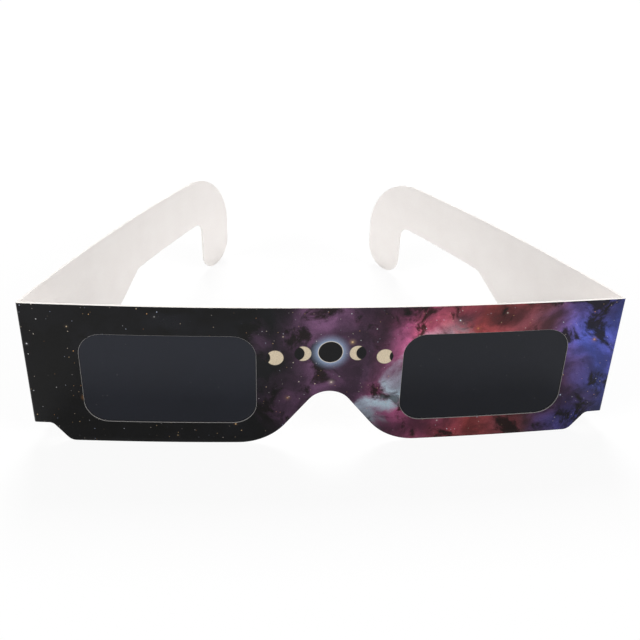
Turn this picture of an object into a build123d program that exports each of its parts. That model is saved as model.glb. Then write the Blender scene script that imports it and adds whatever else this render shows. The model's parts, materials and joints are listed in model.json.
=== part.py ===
# Card eclipse-viewing glasses, opened and standing on a table.
# Two plies of art board are laminated into one die-cut blank, with a dark solar filter film between
# them behind each window. The blank is scored and folded at both ends of the front panel, and each
# score is a crease that the temple swings on. Lengths are in millimetres and angles in degrees.
#
# The pieces are drawn in the panel's own frame: X runs across the face, Z is up the front panel and
# the printed side looks towards -Y. The wearer looks the same way, so the wearer's right is at -X.
# At the end everything leans back until the hook tips stand on the table.
import os
from math import asin, atan2, cos, degrees, radians, sin, sqrt, tan

from build123d import *

os.makedirs("parts", exist_ok=True)

# Board and film
card_ply = 0.28            # one ply of art board
film_thickness = 0.06      # filter film, and the glue line that lies level with it
board = card_ply + film_thickness + card_ply

# Front panel
total_width = 146.0        # over both folded corners
panel_height = 39.2
panel_bow = 3.6            # how far the middle of the panel bulges towards the front
fold_bottom = 5.3          # the fold, and the temple's root, start this far above the bottom edge
ear_length = 4.6           # level stretch of the raised corner, in from the fold
bottom_inset = 8.7         # where the bottom edge starts, in from the fold
ear_corner_radius = 2.0
bottom_corner_radius = 2.6

# Nose notch
notch_height = 15.6
notch_flank_angle = 52.0   # slope of the notch's sides
notch_crown_radius = 6.3
notch_foot_radius = 14.9

# Windows and films
window_gap = 35.9          # bridge between the two windows
window_side_margin = 13.05 # board between a window and the fold
window_top_margin = 7.8
window_bottom_margin = 6.2
window_corner_radius = 5.8
film_margin = 3.0          # glued border of the film, all round the window
film_corner_radius = 4.0
film_pocket_clearance = 0.2

# Temples, drawn along the chord from the fold to the end of the hook
temple_length = 101.7
temple_bow = 3.0           # how far the middle of a temple bulges outwards
root_length = 26.4         # full-height stretch behind the fold
slope_length = 25.9        # stretch where the lower edge climbs to the strap
strap_front_width = 16.0
strap_rear_width = 14.8
hook_width = 14.3
hook_lean = 0.6            # the hook's inner edge leans back by this much at its tip
hook_tip_height = 6.2
hook_back_length = 5.9     # straight back of the hook, between its crown and its tip
hook_corner_radius = 3.6
hook_tip_inner_radius = 5.8
hook_tip_outer_radius = 7.6
slope_foot_radius = 6.0
slope_head_radius = 3.0

# How the temples stand and swing
right_spread_angle = 64.1  # between the chord of the front panel and that of the temple
left_spread_angle = 59.6
right_folded_angle = 1.0   # the right temple folds in first
left_folded_angle = 3.2    # the left one then lies over it
flat_margin_angle = 1.0    # what a temple stops short of lying flat in line with the panel

cut_overrun = 5.0          # how far cutters and blanks run past what they cut

# Worked out from the sizes above
fold_half = total_width / 2 - board
bottom_edge = 0.0
ear_inner_half = total_width / 2 - ear_length
bottom_half = total_width / 2 - bottom_inset
window_width = (total_width - window_gap) / 2 - window_side_margin
window_height = panel_height - window_top_margin - window_bottom_margin
hook_inner = temple_length - hook_width
hook_crown_radius = panel_height - hook_tip_height - hook_tip_outer_radius - hook_back_length
spreads = {"right": right_spread_angle, "left": left_spread_angle}
folded = {"right": right_folded_angle, "left": left_folded_angle}
sides = {"right": -1, "left": 1}


def bow_radius(chord, rise):
    """Radius of the arc over a chord that rises by a given amount in the middle."""
    return (chord * chord / 4 + rise * rise) / (2 * rise)


panel_radius = bow_radius(2 * fold_half, panel_bow)
panel_end_angle = degrees(asin(fold_half / panel_radius))
temple_radius = bow_radius(temple_length, temple_bow)
temple_end_angle = degrees(asin(temple_length / 2 / temple_radius))
layers = {
    "inner": (0.0, card_ply),
    "film": (card_ply, card_ply + film_thickness),
    "outer": (card_ply + film_thickness, board),
}


def polar(radius, angle):
    """A point at a radius, with its angle counted from -Y towards +X."""
    return (radius * sin(radians(angle)), -radius * cos(radians(angle)))


def ring_face(inner_radius, outer_radius, start_angle, end_angle):
    """The plan of a bent card: the stretch of a ring between two radial ends."""
    middle_angle = (start_angle + end_angle) / 2
    outer_arc = ThreePointArc(*(polar(outer_radius, a) for a in (start_angle, middle_angle, end_angle)))
    inner_arc = ThreePointArc(*(polar(inner_radius, a) for a in (start_angle, middle_angle, end_angle)))
    start_side = Line(inner_arc @ 0, outer_arc @ 0)
    end_side = Line(inner_arc @ 1, outer_arc @ 1)
    return make_face([outer_arc, start_side, inner_arc, end_side])


def bent_layer(radius, end_angle, centre_x, centre_y, layer, height):
    """One layer of the bent board, from its bottom edge up, before its outline is cut."""
    low, high = layers[layer]
    plan = ring_face(radius + low, radius + high, -end_angle, end_angle)
    return Pos(centre_x, centre_y, bottom_edge) * extrude(plan, amount=height)


def rounded_outline(points, radii):
    """A face with the given corners on the XZ plane, each rounded where it has a radius."""
    outline = make_face(Polyline(*((x, z) for x, z in points), close=True))
    for (x, z), radius in zip(points, radii):
        if radius > 0:
            corner = outline.vertices().sort_by_distance((x, z, 0))[0]
            outline = fillet(corner, radius)
    return Plane.XZ * outline


def across(face, reach):
    """A cutter: the outline run right through the card, both ways."""
    return extrude(face, amount=reach, both=True)


# Front panel
def panel_outline():
    flank_apex_half_angle = radians(90 - notch_flank_angle)
    apex = notch_height + notch_crown_radius * (1 / sin(flank_apex_half_angle) - 1)
    foot = apex * tan(flank_apex_half_angle)
    wide = total_width / 2 + cut_overrun
    half = [
        (0.0, apex, notch_crown_radius),
        (foot, bottom_edge, notch_foot_radius),
        (bottom_half, bottom_edge, bottom_corner_radius),
        (ear_inner_half, fold_bottom, ear_corner_radius),
        (wide, fold_bottom, 0.0),
        (wide, panel_height, 0.0),
    ]
    mirrored = [(-x, z, r) for x, z, r in reversed(half[1:])]
    corners = half + mirrored
    return rounded_outline([(x, z) for x, z, r in corners], [r for x, z, r in corners])


def window_face(side, border, corner_radius):
    """A window's outline, or that of what surrounds it by a border."""
    centre_x = side * (window_gap + window_width) / 2
    centre_z = window_bottom_margin + window_height / 2
    face = RectangleRounded(window_width + 2 * border, window_height + 2 * border, corner_radius)
    return Plane.XZ * Pos(centre_x, centre_z) * face


panel_reach = panel_bow + board + cut_overrun
panel_cutter = across(panel_outline(), panel_reach)
windows = {name: across(window_face(s, 0.0, window_corner_radius), panel_reach) for name, s in sides.items()}
pocket_border = film_margin + film_pocket_clearance
pockets = {
    name: across(window_face(s, pocket_border, film_corner_radius + film_pocket_clearance), panel_reach)
    for name, s in sides.items()
}


def panel_blank(layer):
    return bent_layer(panel_radius, panel_end_angle, 0.0, panel_radius - panel_bow, layer, panel_height)


def panel_ply(layer):
    return (panel_blank(layer) & panel_cutter) - windows["right"] - windows["left"]


def panel_glue():
    """The glue line between the plies, open where the two films lie."""
    return (panel_blank("film") & panel_cutter) - pockets["right"] - pockets["left"]


def filter_film(name):
    trim = across(window_face(sides[name], film_margin, film_corner_radius), panel_reach)
    return panel_blank("film") & trim


# Temples
def temple_outline():
    """Side view of a temple: full-height root, slope, strap and ear hook."""
    corners = [
        (-cut_overrun, fold_bottom, 0.0),
        (root_length, fold_bottom, slope_foot_radius),
        (root_length + slope_length, panel_height - strap_front_width, slope_head_radius),
        (hook_inner, panel_height - strap_rear_width, hook_corner_radius),
        (hook_inner + hook_lean, hook_tip_height, hook_tip_inner_radius),
        (temple_length, hook_tip_height, hook_tip_outer_radius),
        (temple_length, panel_height, hook_crown_radius),
        (-cut_overrun, panel_height, 0.0),
    ]
    return rounded_outline([(s, z) for s, z, r in corners], [r for s, z, r in corners])


temple_cutter = across(temple_outline(), temple_bow + board + cut_overrun)


def temple_layer(layer):
    """One layer of a temple laid out flat in line with the panel, with its fold at the origin."""
    blank = bent_layer(
        temple_radius, temple_end_angle, temple_length / 2, temple_radius - temple_bow, layer, panel_height
    )
    return blank & temple_cutter


def stand_temple(flat, name):
    """Swings a flat temple back about its fold, and mirrors it for the wearer's right."""
    stood = Pos(fold_half, 0.0, 0.0) * Rot(0, 0, 180 - spreads[name]) * flat
    return mirror(stood, about=Plane.YZ) if name == "right" else stood


# Creases
def crease_angles(name):
    """Where the panel's end and the temple's root face the fold line, from -Y towards the outside."""
    return panel_end_angle, 180 - spreads[name] - temple_end_angle


def crease(name):
    """The scored board that bends round the fold line, between the panel and the temple."""
    start_angle, end_angle = crease_angles(name)
    middle_angle = (start_angle + end_angle) / 2
    arc = ThreePointArc(*(polar(board, a) for a in (start_angle, middle_angle, end_angle)))
    plan = make_face([Line((0.0, 0.0), arc @ 0), arc, Line(arc @ 1, (0.0, 0.0))])
    bend = Pos(fold_half, 0.0, fold_bottom) * extrude(plan, amount=panel_height - fold_bottom)
    return mirror(bend, about=Plane.YZ) if name == "right" else bend


# The whole set, in the panel's frame
pieces = {
    "front_outer_card": panel_ply("outer"),
    "front_inner_card": panel_ply("inner"),
    "front_glue_layer": panel_glue(),
}
for name in sides:
    pieces[name + "_filter_film"] = filter_film(name)
    pieces[name + "_temple_outer_card"] = stand_temple(temple_layer("outer"), name)
    pieces[name + "_temple_glue_layer"] = stand_temple(temple_layer("film"), name)
    pieces[name + "_temple_inner_card"] = stand_temple(temple_layer("inner"), name)
    pieces[name + "_crease"] = crease(name)


# Leaning back on the hook tips
def chord_offset(radius, chord, rise, along):
    """How far a bent card's inner face stands off its chord."""
    return sqrt(radius ** 2 - (along - chord / 2) ** 2) - (radius - rise)


def temple_point(name, along, height, out=0.0):
    """A point on a standing temple's inner face, or that far outside it."""
    spread = radians(spreads[name])
    off = chord_offset(temple_radius, temple_length, temple_bow, along) + out
    across_x = fold_half - along * cos(spread) + off * sin(spread)
    depth_y = along * sin(spread) + off * cos(spread)
    return (sides[name] * across_x, depth_y, height)


def panel_point(across_x, height, out=0.0):
    """A point on the panel's inner face, or that far outside it."""
    angle = asin(across_x / panel_radius)
    radius = panel_radius + out
    return (radius * sin(angle), panel_radius - panel_bow - radius * cos(angle), height)


hook_middle = temple_length - hook_tip_outer_radius
tip_depth = max(temple_point(name, hook_middle, hook_tip_height)[1] for name in sides)
edge_depth = panel_point(bottom_half - bottom_corner_radius, bottom_edge)[1]
lean = degrees(atan2(hook_tip_height, tip_depth - edge_depth))
leaned = {name: Rot(-lean, 0, 0) * solid for name, solid in pieces.items()}
bounds = Compound(children=list(leaned.values())).bounding_box()
home = Pos(-bounds.center().X, -bounds.center().Y, -bounds.min.Z) * Rot(-lean, 0, 0)


def placed(point):
    """A point of the panel's frame, in the standing part's frame."""
    return (home * Pos(*point)).position


def show(label, vector):
    print(f"{label:28s} {vector.X:10.4f} {vector.Y:10.4f} {vector.Z:10.4f}")


for name, solid in pieces.items():
    export_step(home * solid, f"parts/{name}.step")

# Joint axes, mounts and landmarks of the standing part
print(f"lean {lean:.4f}  panel radius {panel_radius:.3f}  temple radius {temple_radius:.3f}")
show("size", bounds.size)
show("up along the panel", placed((0.0, 0.0, 1.0)) - placed((0.0, 0.0, 0.0)))
show("out of the panel", placed((0.0, -1.0, 0.0)) - placed((0.0, 0.0, 0.0)))
for name, side in sides.items():
    start_angle, end_angle = crease_angles(name)
    show(name + " fold line", placed((side * fold_half, 0.0, fold_bottom)))
    show(name + " hook tip", placed(temple_point(name, hook_middle, hook_tip_height, board / 2)))
    show(name + " ear rest", placed(temple_point(name, hook_inner - hook_width, panel_height - strap_rear_width)))
    show(name + " temple end", placed(temple_point(name, temple_length, panel_height)))
    show(name + " bottom edge", placed(panel_point(side * bottom_half / 2, bottom_edge, card_ply / 2)))
    opens, folds = end_angle - start_angle - flat_margin_angle, spreads[name] - folded[name]
    print(f"{name} swing: opens {opens:.3f}, folds {folds:.3f}")
show("nose notch top", placed(panel_point(0.0, notch_height, board / 2)))
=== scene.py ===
import json
import math
from functools import partial

import bmesh
import bpy
from mathutils import Matrix, Vector


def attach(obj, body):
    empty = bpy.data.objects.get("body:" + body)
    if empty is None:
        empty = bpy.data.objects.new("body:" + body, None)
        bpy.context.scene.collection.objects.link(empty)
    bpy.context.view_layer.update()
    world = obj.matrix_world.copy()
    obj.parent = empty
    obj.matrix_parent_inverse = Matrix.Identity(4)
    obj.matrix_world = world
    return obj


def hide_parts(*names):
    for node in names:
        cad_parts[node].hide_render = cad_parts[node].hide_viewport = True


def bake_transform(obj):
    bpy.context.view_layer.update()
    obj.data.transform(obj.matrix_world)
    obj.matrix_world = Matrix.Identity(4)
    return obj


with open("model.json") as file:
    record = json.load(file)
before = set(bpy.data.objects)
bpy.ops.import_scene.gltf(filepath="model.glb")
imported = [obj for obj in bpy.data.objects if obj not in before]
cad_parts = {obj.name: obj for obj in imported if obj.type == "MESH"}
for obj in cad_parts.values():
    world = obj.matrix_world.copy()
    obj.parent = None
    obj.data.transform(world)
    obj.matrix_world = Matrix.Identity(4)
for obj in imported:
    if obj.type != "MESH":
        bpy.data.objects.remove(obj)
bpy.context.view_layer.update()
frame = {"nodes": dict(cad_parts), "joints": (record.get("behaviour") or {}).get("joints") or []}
scene = bpy.context.scene
mm = 0.001
print("frame loaded with", len(frame["nodes"]), "nodes")


# Turns an sRGB hex colour into the linear colour that a socket wants.
def linearColour(hexColour):
    channels = [int(hexColour[i : i + 2], 16) / 255 for i in (1, 3, 5)]
    return [c / 12.92 if c <= 0.04045 else ((c + 0.055) / 1.055) ** 2.4 for c in channels] + [1.0]


# Adds a node with its settings. A shader node goes by the rest of its name, and the inputs are a row of them
# or a dictionary. Each takes a value, a hex colour, a socket, or a node, whose first open output is used.
def addNode(tree, kind, inputs=(), **settings):
    node = tree.nodes.new(kind if "Node" in kind else "ShaderNode" + kind)
    for name, value in settings.items():
        setattr(node, name, value)
    for key, value in enumerate(inputs) if isinstance(inputs, tuple) else inputs.items():
        if isinstance(value, bpy.types.Node):
            value = next(output for output in value.outputs if output.enabled)
        if isinstance(value, str) and value.startswith("#"):
            value = linearColour(value)
        if isinstance(value, bpy.types.NodeSocket):
            tree.links.new(value, node.inputs[key])
        else:
            node.inputs[key].default_value = value
    return node


smooth = {"interpolation_type": "SMOOTHSTEP"}  # for a Map Range that eases in and out
onPrint = {"noise_dimensions": "2D"}  # for noise laid flat on the print


# Gives a colour ramp its stops, from a list of (place, hex colour) over a range of places.
def setStops(ramp, stops, low=0.0, high=1.0):
    elements = ramp.color_ramp.elements
    for i, (place, colour) in enumerate(stops):
        share = (place - low) / (high - low)
        element = elements[i] if i < 2 else elements.new(share)
        element.position = share
        element.color = linearColour(colour)
    return ramp


# Multiplies eased steps together. Each is a value and the name that its range has in a table.
def product(add, table, steps, start=1.0):
    for value, name in steps:
        step = add("MapRange", (value, *table[name]), **smooth)
        start = add("Math", (step, start), operation="MULTIPLY")
    return start


# An empty material, and addNode for its tree.
def newMaterial(name):
    material = bpy.data.materials.new(name)
    material.use_nodes = True
    material.node_tree.nodes.clear()
    return material, partial(addNode, material.node_tree)


# A material whose surface function adds the nodes and says what the last one, its shader, is given.
def surfaceMaterial(name, surface):
    material, add = newMaterial(name)
    add("OutputMaterial", {"Surface": add("BsdfPrincipled", surface(add))})
    return material


# The board that every piece is cut from, in millimetres
board = {
    "ply": 0.28,  # one ply of art board
    "film": 0.06,  # the filter film, and the glue line that lies level with it
    "pressedOuter": 0.06,  # how far the die rounds the printed face over at a cut
    "pressedWindow": 0.07,  # and round a window
    "pressedInner": 0.04,  # and the white face
    "pressedHidden": 0.015,  # and where the plies meet
    "paintedWindowShade": (0.68, 0.68, 0.92, 0.92),  # painted shade, deeper ring by ring down a window's edge
    "facing": 0.01,  # only what lies this close to a layer's face has that face's finish
    "foldReach": 0.001,  # and a point this close to the fold lies on it
    "glueRecess": 0.05,  # the glue line stops this far inside a cut edge
    "cell": 1.5,  # grid that lets a card bend smoothly
    "cellMargin": 0.2,  # no line of it comes nearer to a card's end than this share of a cell
    "snap": 0.02,  # and a line this close to a point goes through it
    "straight": 1e-4,  # an edge that strays less than this runs along the grid
    "flat": 0.99,  # a face lies flat when this much of its normal points through the card
    "weld": 1e-5,
    "arcStep": 0.5,  # longest facet of a rounded corner
    "fewestFacets": 6,
    "sharpAngle": 32.0,
}
board["thickness"] = 2 * board["ply"] + board["film"]

frontPanel = {
    "height": 39.2,
    "bow": 3.6,  # the middle bulges forwards by this much
    "foldBottom": 5.3,  # the fold starts this far above the bottom edge
    "earLength": 4.6,
    "bottomInset": 8.7,
    "earRadius": 2.0,
    "bottomRadius": 2.6,
    "notchHeight": 15.6,
    "notchFlankAngle": 52.0,
    "notchCrownRadius": 6.3,
    "notchFootRadius": 14.9,
    "waver": 0.12,  # the card is never quite true: it wavers inwards by up to this much
    "waverSize": 46.0,
    "giveReach": 14.0,  # less and less from here to the fold
    "seed": 0.31,
}

window = {
    "gap": 35.9,  # bridge between the two
    "sideMargin": 13.05,
    "topMargin": 7.8,
    "bottomMargin": 6.2,
    "radius": 5.8,
}

filterFilm = {
    "border": 3.0,  # glued between the plies, all round the window
    "radius": 4.0,
    "pocketClearance": 0.2,
    "slack": 0.16,  # the free film ripples by this much
    "rippleSize": 17.0,
    "slackEdge": 4.0,  # and lies flat again this close to the window's edge
}

temple = {
    "length": 101.7,  # along the chord, from the fold to the end of the hook
    "bow": 3.0,
    "rootLength": 26.4,
    "slopeLength": 25.9,
    "strapFront": 16.0,
    "strapRear": 14.8,
    "hookWidth": 14.3,
    "hookLean": 0.6,
    "hookTipHeight": 6.2,
    "hookBackLength": 5.9,
    "hookCornerRadius": 3.6,
    "tipInnerRadius": 5.8,
    "tipOuterRadius": 7.6,
    "slopeFootRadius": 6.0,
    "slopeHeadRadius": 3.0,
    "spread": {"right": 64.1, "left": 59.6},  # between the panel's chord and the temple's
    "waver": 0.35,
    "waverSize": 38.0,
    "giveReach": 22.0,
    "seed": {"right": 0.57, "left": 0.83},
}

crease = {
    "facets": 28,  # round the bend
    "row": 2.8,  # spacing of its rows up the fold
    "wear": 0.14,  # how much ink is lost in the middle of the fold
    "wearFalloff": 3,
    "wearDepth": 0.1,
    "pressStart": (0.0, 1.5),  # beside the fold, the creasing rule leaves soft ripples in the temple's white
    "pressEnd": (9.0, 1.5),  # face: they swell over the first distance and die out over the second
    "pressSize": 2.4,
    "pressStretch": (1.0, 0.06, 0.0),  # drawn out along the fold
    "pressDepth": 0.05,
}

sides = {"right": -1, "left": 1}  # the wearer's right is at -X, on the left of the photograph
joints = {joint["name"].split("_")[0]: joint for joint in frame["joints"]}
foldHalf = joints["left"]["pos_m"][0] / mm
totalWidth = 2 * (foldHalf + board["thickness"])


def arcRadius(chord, rise):
    return (chord * chord / 4 + rise * rise) / (2 * rise)


panelRadius = arcRadius(2 * foldHalf, frontPanel["bow"])
panelEndAngle = math.asin(foldHalf / panelRadius)
templeRadius = arcRadius(temple["length"], temple["bow"])
templeEndAngle = math.asin(temple["length"] / 2 / templeRadius)

# The set leans back on its hook tips: the panel's own frame is turned and moved to the fold line in the frame
foldUp = Vector(joints["left"]["axis"])
lean = math.atan2(foldUp.y, foldUp.z)
standing = (
    Matrix.Translation(Vector(joints["left"]["pos_m"]))
    @ Matrix.Rotation(-lean, 4, "X")
    @ Matrix.Translation(Vector((-foldHalf, 0, -frontPanel["foldBottom"])) * mm)
)


# Where a flat temple swings to: about its fold line, in the panel's frame.
def templePlace(side):
    swing = sides[side] * (math.pi - math.radians(temple["spread"][side]))
    fold = Vector((sides[side] * foldHalf, 0, 0)) * mm
    return standing @ Matrix.Translation(fold) @ Matrix.Rotation(swing, 4, "Z")


# Corners (x, z, radius) become a closed loop of points, with an arc at each corner that has a radius.
def roundedLoop(corners):
    points = []
    for i, (x, z, radius) in enumerate(corners):
        corner = Vector((x, z))
        if not radius:
            points.append(corner)
            continue
        before = (Vector(corners[i - 1][:2]) - corner).normalized()
        after = (Vector(corners[(i + 1) % len(corners)][:2]) - corner).normalized()
        halfAngle = before.angle(after) / 2
        centre = corner + (before + after).normalized() * radius / math.sin(halfAngle)
        spoke = corner + before * radius / math.tan(halfAngle) - centre
        turn = math.copysign(math.pi - 2 * halfAngle, after.cross(before))
        facets = max(board["fewestFacets"], math.ceil(abs(turn) * radius / board["arcStep"]))
        points += [centre + Matrix.Rotation(turn * k / facets, 2) @ spoke for k in range(facets + 1)]
    return points


def mirroredLoop(corners):
    return [(-x, z, radius) for x, z, radius in reversed(corners)]


def panelOutline():
    flank = math.radians(90 - frontPanel["notchFlankAngle"])
    apex = frontPanel["notchHeight"] + frontPanel["notchCrownRadius"] * (1 / math.sin(flank) - 1)
    half = [
        (apex * math.tan(flank), 0.0, frontPanel["notchFootRadius"]),
        (totalWidth / 2 - frontPanel["bottomInset"], 0.0, frontPanel["bottomRadius"]),
        (totalWidth / 2 - frontPanel["earLength"], frontPanel["foldBottom"], frontPanel["earRadius"]),
        (foldHalf, frontPanel["foldBottom"], 0.0),
        (foldHalf, frontPanel["height"], 0.0),
    ]
    return roundedLoop([(0.0, apex, frontPanel["notchCrownRadius"])] + half + mirroredLoop(half))


# A window's outline grown by a border, wound the other way when it is a hole.
def windowOutline(side, border, radius, hole):
    inner = window["gap"] / 2 - border
    outer = totalWidth / 2 - window["sideMargin"] + border
    low = window["bottomMargin"] - border
    high = frontPanel["height"] - window["topMargin"] + border
    corners = [(inner, low, radius), (outer, low, radius), (outer, high, radius), (inner, high, radius)]
    if (side == "left") == hole:
        corners.reverse()
    return roundedLoop([(sides[side] * x, z, r) for x, z, r in corners])


def templeOutline(side):
    height = frontPanel["height"]
    hookInner = temple["length"] - temple["hookWidth"]
    crownRadius = height - temple["hookTipHeight"] - temple["tipOuterRadius"] - temple["hookBackLength"]
    slopeHead = temple["rootLength"] + temple["slopeLength"]
    corners = [
        (0.0, frontPanel["foldBottom"], 0.0),
        (temple["rootLength"], frontPanel["foldBottom"], temple["slopeFootRadius"]),
        (slopeHead, height - temple["strapFront"], temple["slopeHeadRadius"]),
        (hookInner, height - temple["strapRear"], temple["hookCornerRadius"]),
        (hookInner + temple["hookLean"], temple["hookTipHeight"], temple["tipInnerRadius"]),
        (temple["length"], temple["hookTipHeight"], temple["tipOuterRadius"]),
        (temple["length"], height, crownRadius),
        (0.0, height, 0.0),
    ]
    return roundedLoop(corners if side == "left" else mirroredLoop(corners))


# Moves a loop into the card by a small amount. Material lies on its left, and an edge on the fold stays put.
def insetLoop(points, inset, foldAt):
    def inward(a, b):
        along = b - a
        if max(abs(abs(a.x) - foldAt), abs(abs(b.x) - foldAt)) < board["foldReach"]:
            return Vector((0, 0))
        return Vector((-along.y, along.x)).normalized()

    moved = []
    for i, point in enumerate(points):
        first = inward(points[i - 1], point)
        second = inward(point, points[(i + 1) % len(points)])
        moved.append(point + (first + second) * inset / (1 + first.dot(second)))
    return moved


# How a cut edge runs through a layer, as (inset, depth) from its outer face to its inner one.
def cutProfile(thickness, outerRound, innerRound):
    share = 1 - math.sqrt(0.5)  # the middle of a quarter round
    return [
        (outerRound, 0.0),
        (outerRound * share, outerRound * share),
        (0.0, outerRound),
        (0.0, thickness - innerRound),
        (innerRound * share, thickness - innerRound * share),
        (innerRound, thickness),
    ]


outerProfile = cutProfile(board["ply"], board["pressedOuter"], board["pressedHidden"])
windowProfile = cutProfile(board["ply"], board["pressedWindow"], board["pressedHidden"])
innerProfile = cutProfile(board["ply"], board["pressedHidden"], board["pressedInner"])
glueProfile = [(board["glueRecess"], 0.0), (board["glueRecess"], board["film"])]
filmProfile = [(0.0, 0.0), (0.0, board["film"])]
surfaceNames = {"outer": 1, "inner": 2}  # and 0 is a cut edge


# Share of a smooth step from 0 to 1 over a distance.
def eased(distance, reach):
    t = min(max(distance / reach, 0.0), 1.0)
    return t * t * (3 - 2 * t)


# A flat card as a closed mesh: X along it, Y through it from its outer face at 0, Z up.
# Three numbers ride on its points: give, how freely it may waver, slack, how freely a film may ripple, and
# the painted shade that darkens the cut edge of a hole.
def flatCard(name, loops, profile, foldAt, giveAt, slackAt=None, holeProfile=None):
    mesh = bpy.data.meshes.new(name + "Flat")
    bm = bmesh.new()
    paintedEdgeShade = bm.verts.layers.float.new("paintedEdgeShade")
    outerEdges, innerEdges = [], []
    for loop in loops:
        rings = []
        for inset, depth in profile if loop is loops[0] else holeProfile or profile:
            rings.append([bm.verts.new((p.x, depth, p.y)) for p in insetLoop(loop, inset, foldAt)])
        # painted shade down the cut edge of each hole, deeper ring by ring
        if loop is not loops[0]:
            for ring, share in zip(rings, board["paintedWindowShade"]):
                for vert in ring:
                    vert[paintedEdgeShade] = share
        for ring, nextRing in zip(rings, rings[1:]):
            for i in range(len(loop)):
                bm.faces.new((ring[i - 1], ring[i], nextRing[i], nextRing[i - 1]))
        for edges, ring in ((outerEdges, rings[0]), (innerEdges, rings[-1])):
            edges += [bm.edges.get((ring[i - 1], ring[i])) for i in range(len(loop))]
    for edges in (outerEdges, innerEdges):
        bmesh.ops.triangle_fill(bm, use_beauty=True, edges=edges)

    # A grid is cut into it, and the slanting edges that the filling left are dissolved again
    cell, margin = board["cell"], board["cellMargin"]
    for axis in (0, 2):
        low = min(v.co[axis] for v in bm.verts)
        high = max(v.co[axis] for v in bm.verts)
        normal = Vector((1, 0, 0)) if axis == 0 else Vector((0, 0, 1))
        for k in range(math.ceil(low / cell + margin), math.floor(high / cell - margin) + 1):
            cut = {"plane_co": normal * k * cell, "plane_no": normal, "dist": board["snap"]}
            geometry = bm.verts[:] + bm.edges[:] + bm.faces[:]
            bmesh.ops.bisect_plane(bm, geom=geometry, use_snap_center=True, **cut)
    slanting = []
    for edge in bm.edges:
        a, b = (v.co for v in edge.verts)
        isFlat = all(abs(f.normal.y) > board["flat"] for f in edge.link_faces) and len(edge.link_faces) == 2
        if isFlat and min(abs(a.x - b.x), abs(a.z - b.z)) > board["straight"]:
            slanting.append(edge)
    bmesh.ops.dissolve_edges(bm, edges=slanting, use_verts=False)
    bmesh.ops.recalc_face_normals(bm, faces=bm.faces[:])

    give = bm.verts.layers.float.new("give")
    slack = bm.verts.layers.float.new("slack")
    surface = bm.faces.layers.int.new("surface")
    lowest, highest = profile[0][1], profile[-1][1]
    for vert in bm.verts:
        vert[give] = giveAt(vert.co.x)
        vert[slack] = slackAt(vert.co.x, vert.co.z) if slackAt else 0.0
    for face in bm.faces:
        depth = sum(v.co.y for v in face.verts) / len(face.verts)
        if depth < lowest + board["facing"]:
            face[surface] = surfaceNames["outer"]
        elif depth > highest - board["facing"]:
            face[surface] = surfaceNames["inner"]
    bmesh.ops.scale(bm, vec=(mm, mm, mm), verts=bm.verts[:])
    bm.to_mesh(mesh)
    bm.free()
    card = bpy.data.objects.new(name + "Flat", mesh)
    scene.collection.objects.link(card)
    return card


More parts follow.
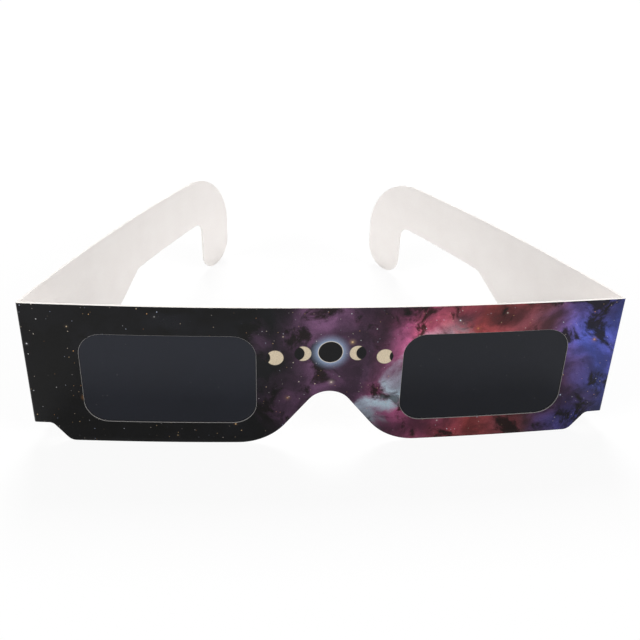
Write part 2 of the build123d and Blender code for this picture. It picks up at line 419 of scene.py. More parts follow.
# Bends a flat card onto its arc, lets it waver, lays out its print and gives its three surfaces a finish.
def makeBendTree():
    tree = bpy.data.node_groups.new("bendCard", "GeometryNodeTree")
    add = partial(addNode, tree)
    tree.interface.new_socket("Geometry", in_out="INPUT", socket_type="NodeSocketGeometry")
    numbers = ("Arc Radius", "Chord Centre", "Bow", "Outer Depth", "Board Thickness", "Print Start")
    for name in numbers + ("Waver", "Waver Size", "Slack", "Ripple Size", "Seed"):
        tree.interface.new_socket(name, in_out="INPUT", socket_type="NodeSocketFloat")
    for name in ("Outer Finish", "Inner Finish", "Edge Finish"):
        tree.interface.new_socket(name, in_out="INPUT", socket_type="NodeSocketMaterial")
    tree.interface.new_socket("Geometry", in_out="OUTPUT", socket_type="NodeSocketGeometry")
    given = add("NodeGroupInput").outputs
    here = add("SeparateXYZ", (add("GeometryNodeInputPosition"),)).outputs

    # The angle on the arc, and how far out the point lies
    run = add("Math", (here[0], given["Chord Centre"]), operation="SUBTRACT")
    sine = add("Math", (run, given["Arc Radius"]), operation="DIVIDE")
    angle = add("Math", (sine,), operation="ARCSINE")
    face = add("Math", (given["Arc Radius"], given["Board Thickness"]), operation="ADD")
    depth = add("Math", (given["Outer Depth"], here[1]), operation="ADD")
    radius = add("Math", (face, depth), operation="SUBTRACT")

    # Slow waves in the card, always inwards, and quicker ripples in a free film
    spot = add("CombineXYZ", (here[0], here[2], given["Seed"]))
    for size, height, mask in (("Waver Size", "Waver", "give"), ("Ripple Size", "Slack", "slack")):
        scale = add("Math", (1.0, given[size]), operation="DIVIDE")
        noise = add("TexNoise", {"Vector": spot, "Scale": scale, "Detail": 1.0})
        loose = add("GeometryNodeInputNamedAttribute", {"Name": mask}, data_type="FLOAT")
        swell = add("Math", (noise, given[height]), operation="MULTIPLY")
        wave = add("Math", (swell, loose), operation="MULTIPLY")
        radius = add("Math", (radius, wave), operation="SUBTRACT")

    # Onto the arc
    sineOf = add("Math", (angle,), operation="SINE")
    cosineOf = add("Math", (angle,), operation="COSINE")
    outX = add("Math", (radius, sineOf, given["Chord Centre"]), operation="MULTIPLY_ADD")
    back = add("Math", (radius, cosineOf), operation="MULTIPLY")
    centre = add("Math", (given["Arc Radius"], given["Bow"]), operation="SUBTRACT")
    outY = add("Math", (centre, back), operation="SUBTRACT")
    place = add("CombineXYZ", (outX, outY, here[2]))

    # The print is laid out in millimetres along the blank and up it
    length = add("Math", (angle, face, given["Print Start"]), operation="MULTIPLY_ADD")
    metres = add("CombineXYZ", (length, here[2]))
    layout = add("VectorMath", {0: metres, "Scale": 1 / mm}, operation="SCALE")
    inputs = {"Geometry": given["Geometry"], "Name": "print", "Value": layout}
    printed = add("GeometryNodeStoreNamedAttribute", inputs, data_type="FLOAT2", domain="CORNER")
    bent = add("GeometryNodeSetPosition", {"Geometry": printed, "Position": place})
    shape = add("GeometryNodeRealizeInstances", (bent,))
    surface = add("GeometryNodeInputNamedAttribute", {"Name": "surface"}, data_type="INT")
    shape = add("GeometryNodeSetMaterial", {"Geometry": shape, "Material": given["Edge Finish"]})
    for name, number in surfaceNames.items():
        chosen = add("FunctionNodeCompare", {2: surface, 3: number}, data_type="INT", operation="EQUAL")
        inputs = {"Geometry": shape, "Selection": chosen, "Material": given[name.capitalize() + " Finish"]}
        shape = add("GeometryNodeSetMaterial", inputs)
    add("NodeGroupOutput", {"Geometry": shape})
    return tree


bendTree = makeBendTree()
print("bending tree made")


# Bends a flat card by the tree and moves it to its place. The result is a plain mesh at the origin.
def bentPiece(name, flat, values, place):
    modifier = flat.modifiers.new("bend", "NODES")
    modifier.node_group = bendTree
    for item in bendTree.interface.items_tree:
        if item.in_out == "INPUT" and item.name in values:
            modifier[item.identifier] = values[item.name]
    bpy.context.view_layer.update()
    mesh = bpy.data.meshes.new_from_object(flat.evaluated_get(bpy.context.evaluated_depsgraph_get()))
    bpy.data.objects.remove(flat)
    return finishedPiece(name, mesh, place)


def finishedPiece(name, mesh, place):
    mesh.name = name
    mesh.transform(place)
    mesh.shade_smooth()
    mesh.set_sharp_from_angle(angle=math.radians(board["sharpAngle"]))
    piece = bpy.data.objects.new(name, mesh)
    scene.collection.objects.link(piece)
    return piece


# The printed sky. Places and sizes are in millimetres on the blank: along it from the middle of the front
# towards the wearer's left, and up from its bottom edge. A row of two or four numbers is the range of a
# pattern or distance, and what is given at its ends.
sky = {
    "colours": [  # night at the ends, and lit clouds of plum, rose, rust, umber and indigo on the left half
        (-178, "#040406"),
        (-110, "#0e1524"),
        (-70, "#060608"),
        (-18, "#0b0c11"),
        (4, "#5f3f5c"),
        (20, "#9c4c72"),
        (36, "#a84648"),
        (52, "#5f3540"),
        (70, "#3f4894"),
        (98, "#3a2c62"),
        (125, "#151127"),
        (178, "#050508"),
    ],
    "patterns": {  # size in millimetres, detail, roughness and distortion
        "cloud": (17.0, 6.0, 0.5, 0.0),
        "wisp": (6.5, 8.0, 0.58, 0.0),
        "dust": (9.0, 9.0, 0.64, 0.3),
        "gap": (30.0, 3.0, 0.5, 0.0),
    },
    "bendSize": 21.0,
    "bend": 5.0,  # how far the patterns are pulled out of round
    "drift": (0.3, 0.7, -5.5, 5.5),  # and the colours along the blank, by the clouds
    "cloudLight": (0.36, 0.64, 0.62, 1.25),
    "wispLight": (0.34, 0.68, 0.62, 1.5),
    "gapLight": (0.32, 0.46, 0.38, 1.0),
    # painted shade: the print is darkened towards its bottom edge
    "paintedShadeAtBottom": (0.0, 30.0, 0.45, 1.0),
    "dustEdge": (0.5, 0.64),
    "dustStain": (0.09, 0.07, 0.05),  # what is left of each colour behind the thickest dust
    "riverColour": "#a3c0cc",  # a pale band of starlight that climbs across the bridge
    "riverPlace": (16.0, 15.0, 0.0),
    "riverSlope": 50.0,
    "riverFray": (0.25, 0.75, -4.5, 4.5),
    "riverWidth": (6.0, 0.0),
    "riverMiddle": 19.0,  # it is brightest at this height, and gone this far above and below
    "riverReach": (19.0, 3.0),
    "riverCloud": (0.36, 0.6, 0.35, 1.0),
    "riverDust": (0.0, 1.0, 1.0, 0.25),
}

stars = {
    "sizes": [  # cell, radius, share of cells with a star, brightness, the light of its halo, and a seed
        (1.7, 0.12, 0.2, 0.55, 0.0, 13.7),
        (3.6, 0.15, 0.3, 0.95, 0.0, 27.4),
        (8.0, 0.22, 0.3, 1.0, 0.1, 41.1),
        (16.0, 0.33, 0.35, 1.0, 0.4, 54.8),
    ],
    "tints": [(0.0, "#b9c8e6"), (0.4, "#e9e6e0"), (0.75, "#e6c38f"), (1.0, "#e0954f")],
    "edge": (1.2, 0.3),  # a star fades in between these shares of its radius
    "haloEdge": 4.5,
    "haloFalloff": 2.5,
    "seedSlant": 0.7,
}

phases = {  # five steps of an eclipse in a shallow arc over the nose
    "place": (0.0, 27.0, 0.0),
    "pitch": 6.7,
    "shown": 2.1,  # a disc is shown up to this many steps from the middle
    "middle": 0.5,  # and is the middle one when it is nearer than this
    "sunRadius": 2.05,
    "moonRadius": 1.98,
    "moonStep": 1.55,  # how much further the moon has moved from one step to the next
    "sag": 0.0085,
    "totalRadius": 2.95,  # the covered sun in the middle is drawn larger
    "rimWidth": 0.22,
    "coronaWidth": 2.6,
    "coronaFalloff": 2.0,
    "coronaLight": 0.9,
    "sunColour": "#cfc0a6",
    "rimColour": "#f3ead8",
    "coronaColour": "#93a6c4",
    "moonColour": "#07070a",
    "softness": 0.09,
}


# Dots in the middle of some of the cells of a scattered pattern, and a random number for each star's tint.
def addStars(add, point, cell, radius, share, brightness, haloLight, seed):
    moved = add("VectorMath", (point, (seed, seed * stars["seedSlant"], 0)), operation="ADD")
    cells = add("TexVoronoi", {"Vector": moved, "Scale": 1 / cell}, voronoi_dimensions="2D")
    dice = add("TexWhiteNoise", {"Vector": cells.outputs["Position"]}, **onPrint)
    picks = add("SeparateColor", (dice.outputs["Color"],)).outputs
    size = radius / cell
    faint, full = (size * edge for edge in stars["edge"])
    dot = add("MapRange", (cells, faint, full, 0.0, brightness), **smooth)
    near = add("MapRange", (cells, size * stars["haloEdge"], 0.0))
    falloff = add("Math", (near, stars["haloFalloff"]), operation="POWER")
    halo = add("Math", (falloff, haloLight), operation="MULTIPLY")
    whole = add("Math", (dot, halo), operation="MAXIMUM")
    bright = add("MapRange", (picks[0], 1 - share, 1.0))
    strength = add("Math", (whole, bright), operation="MULTIPLY")
    return strength, picks[1]


# The sky itself: clouds coloured along the blank, gaps of night, dark dust, a pale band, then stars.
def addSky(add, point):
    along, up = add("SeparateXYZ", (point,)).outputs[:2]
    bend = add("TexNoise", {"Vector": point, "Scale": 1 / sky["bendSize"]}, **onPrint)
    centred = add("VectorMath", (bend.outputs["Color"], (0.5, 0.5, 0.5)), operation="SUBTRACT")
    pull = add("VectorMath", {0: centred, "Scale": 2 * sky["bend"]}, operation="SCALE")
    bentPoint = add("VectorMath", (point, pull), operation="ADD")
    patterns = []
    for size, detail, roughness, distortion in sky["patterns"].values():
        inputs = {"Vector": bentPoint, "Scale": 1 / size, "Detail": detail, "Roughness": roughness}
        patterns.append(add("TexNoise", {**inputs, "Distortion": distortion}, **onPrint))
    cloud, wisp, dust, gap = patterns

    # Colour along the blank, pulled to and fro by the clouds
    drift = add("MapRange", (cloud, *sky["drift"]), clamp=False)
    shifted = add("Math", (along, drift), operation="ADD")
    low, high = sky["colours"][0][0], sky["colours"][-1][0]
    share = add("MapRange", (shifted, low, high))
    colour = setStops(add("ValToRGB", (share,)), sky["colours"], low, high)

    # Light and dark in the clouds, the night between them, and painted shade towards the bottom edge
    steps = [(cloud, "cloudLight"), (wisp, "wispLight"), (gap, "gapLight"), (up, "paintedShadeAtBottom")]
    lit = add("VectorMath", {0: colour, "Scale": product(add, sky, steps)}, operation="SCALE")

    # Brown dust in front of them
    thick = add("MapRange", (dust, *sky["dustEdge"]), **smooth)
    stained = add("VectorMath", (lit, sky["dustStain"]), operation="MULTIPLY")
    dusty = add("Mix", {0: thick, 6: lit, 7: stained}, data_type="RGBA")

    # The pale band, which the dust also dims
    slope = math.radians(sky["riverSlope"])
    across = (math.sin(slope), -math.cos(slope), 0.0)
    fromRiver = add("VectorMath", (bentPoint, sky["riverPlace"]), operation="SUBTRACT")
    offRiver = add("VectorMath", (fromRiver, across), operation="DOT_PRODUCT").outputs["Value"]
    fray = add("MapRange", (wisp, *sky["riverFray"]))
    frayed = add("Math", (offRiver, fray), operation="ADD")
    aside = add("Math", (frayed,), operation="ABSOLUTE")
    above = add("Math", (up, sky["riverMiddle"]), operation="SUBTRACT")
    fromMiddle = add("Math", (above,), operation="ABSOLUTE")
    steps = [(aside, "riverWidth"), (fromMiddle, "riverReach"), (cloud, "riverCloud"), (thick, "riverDust")]
    river = product(add, sky, steps)
    painted = add("Mix", {0: river, 6: dusty, 7: sky["riverColour"]}, data_type="RGBA")

    for size in stars["sizes"]:
        strength, pick = addStars(add, point, *size)
        tint = setStops(add("ValToRGB", (pick,)), stars["tints"])
        painted = add("Mix", {0: strength, 6: painted, 7: tint}, data_type="RGBA")
    return painted


# Five discs on the bridge: the moon's disc moves on over the sun's from each to the next.
def addPhases(add, point, painted):
    place = add("VectorMath", (point, phases["place"]), operation="SUBTRACT")
    along, up = add("SeparateXYZ", (place,)).outputs[:2]
    ratio = add("Math", (along, phases["pitch"]), operation="DIVIDE")
    number = add("Math", (ratio,), operation="ROUND")
    centre = add("Math", (number, phases["pitch"]), operation="MULTIPLY")
    x = add("Math", (along, centre), operation="SUBTRACT")
    squared = add("Math", (centre, centre), operation="MULTIPLY")
    z = add("Math", (squared, phases["sag"], up), operation="MULTIPLY_ADD")
    moonX = add("Math", (number, -phases["moonStep"], x), operation="MULTIPLY_ADD")
    soft = phases["softness"]
    insides = {}
    for name, offset in (("sun", x), ("moon", moonX)):
        spot = add("CombineXYZ", (offset, z))
        distance = add("VectorMath", (spot,), operation="LENGTH").outputs["Value"]
        radius = phases[name + "Radius"]
        insides[name] = add("MapRange", (distance, radius + soft, radius - soft), **smooth)
    isShown = add("Math", (number, 0.0, phases["shown"]), operation="COMPARE")
    isMiddle = add("Math", (number, 0.0, phases["middle"]), operation="COMPARE")
    isOuter = add("Math", (isShown, isMiddle), operation="SUBTRACT")
    disc = add("Math", (insides["sun"], isOuter), operation="MULTIPLY")
    uncovered = add("Math", (1.0, insides["moon"]), operation="SUBTRACT")
    crescent = add("Math", (disc, uncovered), operation="MULTIPLY")

    # Total eclipse: the moon's black disc, a bright rim and the corona fading outwards
    fromMiddle = add("VectorMath", (place,), operation="LENGTH").outputs["Value"]
    radius = phases["totalRadius"]
    rim = add("MapRange", (fromMiddle, radius + phases["rimWidth"], radius), **smooth)
    covered = add("MapRange", (fromMiddle, radius + soft, radius - soft), **smooth)
    fading = add("MapRange", (fromMiddle, radius + phases["coronaWidth"], radius))
    thinned = add("Math", (fading, phases["coronaFalloff"]), operation="POWER")
    corona = add("Math", (thinned, phases["coronaLight"]), operation="MULTIPLY")
    layers = [(disc, "moonColour"), (crescent, "sunColour")]
    layers += [(corona, "coronaColour"), (rim, "rimColour"), (covered, "moonColour")]
    for mask, colour in layers:
        painted = add("Mix", {0: mask, 6: painted, 7: phases[colour]}, data_type="RGBA")
    return painted


# Offset-printed art board under satin varnish: deep ink with a broad soft highlight, the pulp's faint mottle
# in its surface, and white pulp where the ink has cracked on the fold.
printSkin = {
    "grainSize": 0.28,
    "speckle": (0.25, 0.75, 0.84, 1.16),
    "crackSize": 0.35,
    "crackStretch": (1.0, 0.35, 0.0),  # drawn out up the fold, as the cracks run
    "crackEdge": (0.62, 0.7),
    "bareColour": "#a8a29c",
    "mottleSize": 1.1,
    "roughness": (0.3, 0.7, 0.17, 0.23),
}


def printSurface(add):
    point = add("UVMap", uv_map="print")
    painted = addPhases(add, point, addSky(add, point))
    grain = add("TexNoise", {"Vector": point, "Scale": 1 / printSkin["grainSize"]}, **onPrint)
    speckle = add("MapRange", (grain, *printSkin["speckle"]))
    inked = add("VectorMath", {0: painted, "Scale": speckle}, operation="SCALE")
    worn = add("Attribute", attribute_name="wear").outputs["Fac"]
    streaks = add("VectorMath", (point, printSkin["crackStretch"]), operation="MULTIPLY")
    inputs = {"Vector": streaks, "Scale": 1 / printSkin["crackSize"], "Detail": 4.0, "Roughness": 0.7}
    cracks = add("TexNoise", inputs, **onPrint)
    torn = add("MapRange", (cracks, *printSkin["crackEdge"]), **smooth)
    bare = add("Math", (torn, worn), operation="MULTIPLY")
    colour = add("Mix", {0: bare, 6: inked, 7: printSkin["bareColour"]}, data_type="RGBA")
    scale = 1 / printSkin["mottleSize"]
    mottle = add("TexNoise", {"Vector": point, "Scale": scale, "Detail": 4.0}, **onPrint)
    roughness = add("MapRange", (mottle, *printSkin["roughness"]))
    bump = add("Bump", {"Strength": 0.12, "Distance": 0.05 * mm, "Height": mottle})
    skin = {"Base Color": colour, "Roughness": roughness, "IOR": 1.45, "Normal": bump}
    return {**skin, "Specular IOR Level": 0.23}


# Uncoated back of the art board: warm white pulp, dull, with fibres that show as a fine cloudy mottle. Beside
# the folds the temples keep soft ripples from the creasing rule.
boardSkin = {
    "cloudSize": 7.0,
    "colours": [(0.2, "#f0ebe8"), (0.8, "#f4f0ed")],
    "fibreSize": 0.32,
    "fibreStretch": (0.45, 1.0, 0.0),
    "tone": (0.3, 0.7, 0.98, 1.01),
}
printEnd = (panelRadius + board["thickness"]) * panelEndAngle  # where the print reaches the fold


def boardSurface(add):
    point = add("UVMap", uv_map="print")
    along = add("SeparateXYZ", (point,)).outputs[0]
    distance = add("Math", (along,), operation="ABSOLUTE")
    fromFold = add("Math", (distance, printEnd), operation="SUBTRACT")
    drawn = add("VectorMath", (point, crease["pressStretch"]), operation="MULTIPLY")
    waves = add("TexNoise", {"Vector": drawn, "Scale": 1 / crease["pressSize"], "Detail": 1.0}, **onPrint)
    height = product(add, crease, ((fromFold, "pressStart"), (fromFold, "pressEnd")), waves)
    rippled = add("Bump", {"Distance": crease["pressDepth"] * mm, "Height": height})

    clouds = add("TexNoise", {"Vector": point, "Scale": 1 / boardSkin["cloudSize"], "Detail": 4.0}, **onPrint)
    colour = setStops(add("ValToRGB", (clouds,)), boardSkin["colours"])
    drawn = add("VectorMath", (point, boardSkin["fibreStretch"]), operation="MULTIPLY")
    inputs = {"Vector": drawn, "Scale": 1 / boardSkin["fibreSize"], "Detail": 4.0, "Roughness": 0.65}
    fibres = add("TexNoise", {**inputs, "Distortion": 0.8}, **onPrint)
    tone = add("MapRange", (fibres, *boardSkin["tone"]))
    toned = add("VectorMath", {0: colour, "Scale": tone}, operation="SCALE")
    bump = add("Bump", {"Strength": 0.2, "Distance": 0.04 * mm, "Height": fibres, "Normal": rippled})
    return {"Base Color": toned, "Roughness": 0.72, "IOR": 1.45, "Normal": bump}


# The die's cut through the pulp: whiter than the face, rough, with pressed and torn fibres. Round a window
# it is painted grey as shade.
edgeSkin = {
    "fibreSize": 0.18,
    "colours": [(0.25, "#e4e0dc"), (0.5, "#f5f2ef"), (0.75, "#fbfaf8")],
    "paintedShadeColour": "#3c3a3a",
}


def edgeSurface(add):
    point = add("TexCoord").outputs["Object"]
    scale = 1 / (edgeSkin["fibreSize"] * mm)
    fibres = add("TexNoise", {"Vector": point, "Scale": scale, "Detail": 3.0, "Roughness": 0.6})
    pulp = setStops(add("ValToRGB", (fibres,)), edgeSkin["colours"])
    # the cut edge round a window is painted grey as shade
    paintedEdgeShade = add("Attribute", attribute_name="paintedEdgeShade").outputs["Fac"]
    colour = add("Mix", {0: paintedEdgeShade, 6: pulp, 7: edgeSkin["paintedShadeColour"]}, data_type="RGBA")
    bump = add("Bump", {"Strength": 0.5, "Distance": 0.06 * mm, "Height": fibres})
    return {"Base Color": colour, "Roughness": 0.85, "IOR": 1.45, "Normal": bump}


# Dried laminating glue: a thin pale amber line, a little glossy where it has bubbled.
glueSkin = {"beadSize": 0.9, "colours": [(0.3, "#b7a888"), (0.7, "#d8cdb4")]}


def glueSurface(add):
    point = add("TexCoord").outputs["Object"]
    beads = add("TexNoise", {"Vector": point, "Scale": 1 / (glueSkin["beadSize"] * mm)})
    colour = setStops(add("ValToRGB", (beads,)), glueSkin["colours"])
    bump = add("Bump", {"Strength": 0.4, "Distance": 0.05 * mm, "Height": beads})
    return {"Base Color": colour, "Roughness": 0.4, "IOR": 1.47, "Normal": bump}


# Black polymer filter film: carbon-filled sheet, opaque and blue-black, satin from the casting roll, with a
# fine grain, drawn a little coarser than it is, and the odd speck of dust on it. The two chips are not from
# the same roll: the wearer's left one has less sheen, and less blue in it.
filmSkin = {
    "hazeSize": 14.0,
    "colours": [(0.3, "#080a10"), (0.7, "#0b0d14")],
    "roughness": (0.3, 0.7, 0.1, 0.15),
    "grainSize": 0.3,
    "speckle": (0.3, 0.7, 0.75, 1.25),
    "dust": (4.2, 0.11, 0.3, 0.4, 0.0, 71.3),  # as a size of star
    "dustColour": "#8f8d8a",
    "castSize": 2.4,
    "sheen": (0.0, 1.0, 0.38, 0.29),  # the last two are for the right film and the left one, as are the tints
    "tints": ("#e8edff", "#f2f5ff"),
}


def filmSurface(add):
    point = add("UVMap", uv_map="print")
    haze = add("TexNoise", {"Vector": point, "Scale": 1 / filmSkin["hazeSize"], "Detail": 3.0}, **onPrint)
    tone = setStops(add("ValToRGB", (haze,)), filmSkin["colours"])
    grain = add("TexNoise", {"Vector": point, "Scale": 1 / filmSkin["grainSize"]}, **onPrint)
    speckle = add("MapRange", (grain, *filmSkin["speckle"]))
    colour = add("VectorMath", {0: tone, "Scale": speckle}, operation="SCALE")
    dust = addStars(add, point, *filmSkin["dust"])[0]
    dusty = add("Mix", {0: dust, 6: colour, 7: filmSkin["dustColour"]}, data_type="RGBA")
    roughness = add("MapRange", (haze, *filmSkin["roughness"]))
    cast = add("TexNoise", {"Vector": point, "Scale": 1 / filmSkin["castSize"]}, **onPrint)
    bump = add("Bump", {"Strength": 0.05, "Distance": 0.05 * mm, "Height": cast})
    along = add("SeparateXYZ", (point,)).outputs[0]
    isLeft = add("Math", (along, 0.0), operation="GREATER_THAN")
    sheen = add("MapRange", (isLeft, *filmSkin["sheen"]))
    right, left = filmSkin["tints"]
    tint = add("Mix", {0: isLeft, 6: right, 7: left}, data_type="RGBA")
    skin = {"Base Color": dusty, "Roughness": roughness, "IOR": 1.5, "Normal": bump}
    return {**skin, "Specular IOR Level": sheen, "Specular Tint": tint}


printedBoard = surfaceMaterial("satin varnished offset print", printSurface)
whiteBoard = surfaceMaterial("uncoated white pulp board", boardSurface)
cutEdge = surfaceMaterial("die-cut pulp edge", edgeSurface)
driedGlue = surfaceMaterial("dried laminating glue", glueSurface)
blackFilm = surfaceMaterial("black polymer filter film", filmSurface)
print("five materials made")


outerSide = board["ply"] + board["film"]  # depth of the inner ply's outer face below the printed one
layers = [  # piece, node, slot, profile, depth, and the finish of its outer face, inner face and edge
    ("OuterCard", "_outer_card", "printed_board", outerProfile, 0.0, (printedBoard, whiteBoard, cutEdge)),
    ("GlueLine", "_glue_layer", "laminating_glue", glueProfile, board["ply"], (driedGlue,) * 3),
    ("InnerCard", "_inner_card", "white_board", innerProfile, outerSide, (whiteBoard, whiteBoard, cutEdge)),
]


# Cuts a card, bends it to the arc of its body, and says what it stands for.
def addCard(name, node, slot, loops, arc, profile, depth, finishes, **more):
    lengths = {
        "Arc Radius": arc["radius"],
        "Chord Centre": arc["centre"],
        "Bow": arc["shape"]["bow"],
        "Outer Depth": depth,
        "Board Thickness": board["thickness"],
        "Print Start": arc["printStart"],
        "Waver": arc["shape"]["waver"],
        "Waver Size": arc["shape"]["waverSize"],
        "Slack": filterFilm["slack"],
        "Ripple Size": filterFilm["rippleSize"],
    }
    values = {key: length * mm for key, length in lengths.items()}
    values["Seed"] = arc["seed"]
    values["Outer Finish"], values["Inner Finish"], values["Edge Finish"] = finishes
    flat = flatCard(name, loops, profile, arc["foldAt"], arc["giveAt"], **more)
    piece = bentPiece(name, flat, values, arc["place"])
    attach(piece, arc["body"])
    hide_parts(node)
    print(name, "stands for", node, "with", len(piece.data.polygons), "faces")


# Front panel: both plies, the glue line and the two films
def panelGive(x):
    return eased(foldHalf - abs(x), frontPanel["giveReach"])


def windowSlack(x, z):
    halfGap = window["gap"] / 2
    width = totalWidth / 2 - window["sideMargin"] - halfGap
    height = frontPanel["height"] - window["topMargin"] - window["bottomMargin"]
    fromSide = width / 2 - abs(abs(x) - halfGap - width / 2)
    fromEnd = height / 2 - abs(z - window["bottomMargin"] - height / 2)
    return eased(fromSide, filterFilm["slackEdge"]) * eased(fromEnd, filterFilm["slackEdge"])


panelArc = {
    "body": "front",
    "place": standing,
    "shape": frontPanel,
    "radius": panelRadius,
    "centre": 0.0,
    "printStart": 0.0,
    "seed": frontPanel["seed"],
    "foldAt": foldHalf,
    "giveAt": panelGive,
}
clearance = filterFilm["pocketClearance"]
pocket = (filterFilm["border"] + clearance, filterFilm["radius"] + clearance, True)
windowHoles = [windowOutline(side, 0.0, window["radius"], True) for side in sides]
for ending, node, slot, profile, depth, finishes in layers:
    holes = [windowOutline(side, *pocket) for side in sides] if ending == "GlueLine" else windowHoles
    holeProfile = windowProfile if ending == "OuterCard" else profile
    layer = (panelArc, profile, depth, finishes)
    addCard("front" + ending, "front" + node, slot, [panelOutline()] + holes, *layer, holeProfile=holeProfile)
for side in sides:
    chip = [windowOutline(side, filterFilm["border"], filterFilm["radius"], False)]
    layer = (panelArc, filmProfile, board["ply"], (blackFilm,) * 3)
    addCard(side + "FilterFilm", side + "_filter_film", "filter_film", chip, *layer, slackAt=windowSlack)


# Temples: three layers each
def templeGive(x):
    return eased(abs(x), temple["giveReach"])


creaseTurn = {}
for side, sign in sides.items():
    creaseTurn[side] = math.pi - math.radians(temple["spread"][side]) - templeEndAngle - panelEndAngle
    start = printEnd + board["thickness"] * creaseTurn[side]
    start += (templeRadius + board["thickness"]) * templeEndAngle
    templeArc = {
        "body": side + "_temple",
        "place": templePlace(side),
        "shape": temple,
        "radius": templeRadius,
        "centre": sign * temple["length"] / 2,
        "printStart": sign * start,
        "seed": temple["seed"][side],
        "foldAt": 0.0,
        "giveAt": templeGive,
    }
    for ending, node, slot, *layer in layers:
        name = side + "Temple" + ending
        addCard(name, side + "_temple" + node, slot, [templeOutline(side)], templeArc, *layer)


# Creases: the same layers swept round the fold, between the panel and the temple
def creasePoint(side, radius, angle, z):
    return Vector((sides[side] * (foldHalf + radius * math.sin(angle)), -radius * math.cos(angle), z))


def makeCrease(side):
    name = side + "Crease"
    bm = bmesh.new()
    printMap = bm.loops.layers.uv.new("print")
    wear = bm.verts.layers.float.new("wear")
    low, high = frontPanel["foldBottom"], frontPanel["height"]
    rowCount = math.ceil((high - low) / crease["row"])
    materials = [printedBoard, whiteBoard, cutEdge, driedGlue]
    shells = [  # depth, profile, and the finish of its outer face, inner face and edge
        (0.0, outerProfile, printedBoard, cutEdge, cutEdge),
        (board["ply"], glueProfile, driedGlue, driedGlue, driedGlue),
        (outerSide, innerProfile, cutEdge, whiteBoard, cutEdge),
    ]
    turn = creaseTurn[side]
    for start, profile, outerFinish, innerFinish, edgeFinish in shells:
        # The section, from the bottom of the inner face round the outer one to the top of the inner face
        section = [(start + depth, low + inset) for inset, depth in reversed(profile)]
        rows = [low + (high - low) * k / rowCount for k in range(1, rowCount)]
        section += [(start + profile[0][1], z) for z in rows]
        section += [(start + depth, high - inset) for inset, depth in profile]
        section += [(start + profile[-1][1], z) for z in reversed(rows)]
        rings = []
        for k in range(crease["facets"] + 1):
            bend = turn * k / crease["facets"]
            worn = crease["wear"] * math.sin(math.pi * k / crease["facets"]) ** crease["wearFalloff"]
            ring = []
            for depth, z in section:
                vert = bm.verts.new(creasePoint(side, board["thickness"] - depth, panelEndAngle + bend, z))
                vert[wear] = worn if depth < crease["wearDepth"] else 0.0
                ring.append((vert, bend, depth, z))
            rings.append(ring)
        outerLimit = start + board["facing"]
        innerLimit = start + profile[-1][1] - board["facing"]
        for ring, nextRing in zip(rings, rings[1:]):
            for i in range(len(section)):
                corners = (ring[i - 1], ring[i], nextRing[i], nextRing[i - 1])
                face = bm.faces.new([corner[0] for corner in corners])
                middle = sum(corner[2] for corner in corners) / 4
                finish = edgeFinish
                if middle < outerLimit:
                    finish = outerFinish
                elif middle > innerLimit:
                    finish = innerFinish
                face.material_index = materials.index(finish)
                for loop, corner in zip(face.loops, corners):
                    length = printEnd + board["thickness"] * corner[1]
                    loop[printMap].uv = (sides[side] * length, corner[3])
        for ring in (rings[0], rings[-1]):
            face = bm.faces.new([corner[0] for corner in ring])
            face.material_index = materials.index(edgeFinish)
    bmesh.ops.remove_doubles(bm, verts=bm.verts[:], dist=board["weld"])
    bmesh.ops.recalc_face_normals(bm, faces=bm.faces[:])
    bmesh.ops.scale(bm, vec=(mm, mm, mm), verts=bm.verts[:])
    mesh = bpy.data.meshes.new(name)
    bm.to_mesh(mesh)
    bm.free()
    for material in materials:
        mesh.materials.append(material)
    piece = finishedPiece(name, mesh, standing)
    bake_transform(piece)
    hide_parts(side + "_crease")
    print(name, "bends between the front and the", side, "temple")


for side in sides:
    makeCrease(side)


# Stage: a white table that runs out of sight, under a white room. Each kind of ray sees a share of pure
# white in the table, which keeps a faint shadow. A reflection shows more of the table as it is lit, and far
# from the glasses the table fades into the room.
stage = {
    "floorHalf": 3.0,
    "floorColour": "#f2f2f2",
    "fade": (0.25, 0.9),
    "floorGlow": {"Is Camera Ray": 0.88, "Is Transmission Ray": 0.88, "Is Glossy Ray": 0.02},
    "roomLight": 0.24,
    "aim": (0.0, 0.0, 0.02),  # where every lamp points
}


def makeFloor():
    mesh = bpy.data.meshes.new("table")
    corners = [(-1, -1, 0), (1, -1, 0), (1, 1, 0), (-1, 1, 0)]
    mesh.from_pydata([Vector(corner) * stage["floorHalf"] for corner in corners], [], [(0, 1, 2, 3)])
    floor = bpy.data.objects.new("table", mesh)
    scene.collection.objects.link(floor)
    material, add = newMaterial("white matt table")
    rays = add("LightPath").outputs
    share = 0.0
    for kind, glow in stage["floorGlow"].items():
        share = add("Math", (rays[kind], glow, share), operation="MULTIPLY_ADD")
    place = add("TexCoord").outputs["Object"]
    away = add("VectorMath", (place,), operation="LENGTH").outputs["Value"]
    faded = add("MapRange", (away, *stage["fade"]), **smooth)
    seen = add("Math", (rays["Is Camera Ray"], rays["Is Glossy Ray"]), operation="MAXIMUM")
    shown = add("Math", (faded, seen), operation="MULTIPLY")
    share = add("Math", (share, shown), operation="MAXIMUM")
    matt = add("BsdfDiffuse", {"Color": stage["floorColour"]})
    add("OutputMaterial", {"Surface": add("MixShader", (share, matt, add("Emission")))})
    mesh.materials.append(material)


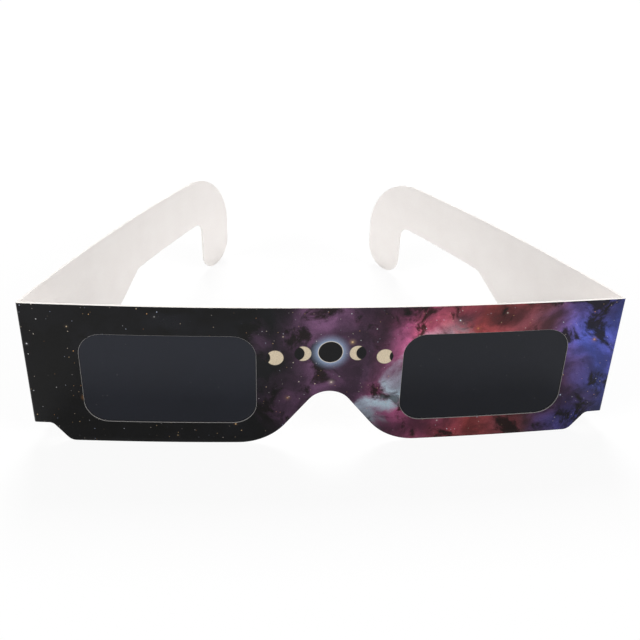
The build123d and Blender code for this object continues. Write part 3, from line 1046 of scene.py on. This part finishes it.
def makeRoom():
    world = bpy.data.worlds.new("white room")
    scene.world = world
    world.use_nodes = True
    world.node_tree.nodes.clear()
    add = partial(addNode, world.node_tree)
    rays = add("LightPath").outputs
    seen = rays["Is Camera Ray"]
    for kind in ("Is Transmission Ray", "Is Glossy Ray"):
        seen = add("Math", (seen, rays[kind]), operation="MAXIMUM")
    strength = add("MapRange", (seen, 0.0, 1.0, stage["roomLight"], 1.0))
    add("OutputWorld", {"Surface": add("Background", {"Color": "#ffffff", "Strength": strength})})


makeFloor()
makeRoom()

lamps = {  # place, side of the square in metres, and power in watts
    "softbox behind": ((0.0, 0.52, 0.7), 0.32, 5.2),
    "softbox left": ((-0.8, -0.46, 0.54), 0.5, 5.15),
    "softbox right": ((0.8, -0.46, 0.54), 0.5, 5.15),
}
for name, (place, width, power) in lamps.items():
    light = bpy.data.lights.new(name, "AREA")
    light.size = width
    light.energy = power
    lamp = bpy.data.objects.new(name, light)
    scene.collection.objects.link(lamp)
    lamp.location = place
    lamp.rotation_mode = "QUATERNION"
    lamp.rotation_quaternion = (Vector(stage["aim"]) - Vector(place)).to_track_quat("-Z", "Y")
print("table, room and lamps made")

# Camera, as fitted to the photograph. The picture is an off-centre cut of a larger one, hence the shift.
shot = {
    "place": (-0.01702, -0.21126, 0.14959),
    "turn": (57.151, -2.682, -4.845),
    "focalPixels": 850.7,
    "pictureWidth": 640,
    "centrePixels": (341.7, 297.7),
    "sensor": 36.0,
}
camera = bpy.data.cameras.new("camera")
camera.sensor_width = shot["sensor"]
camera.lens = shot["focalPixels"] / shot["pictureWidth"] * shot["sensor"]
camera.shift_x = 0.5 - shot["centrePixels"][0] / shot["pictureWidth"]
camera.shift_y = shot["centrePixels"][1] / shot["pictureWidth"] - 0.5
camera.clip_start = 0.01
cameraObject = bpy.data.objects.new("camera", camera)
scene.collection.objects.link(cameraObject)
cameraObject.location = shot["place"]
cameraObject.rotation_euler = [math.radians(angle) for angle in shot["turn"]]
scene.camera = cameraObject
scene.view_settings.view_transform = "Standard"
print("camera set")

bpy.context.view_layer.update()
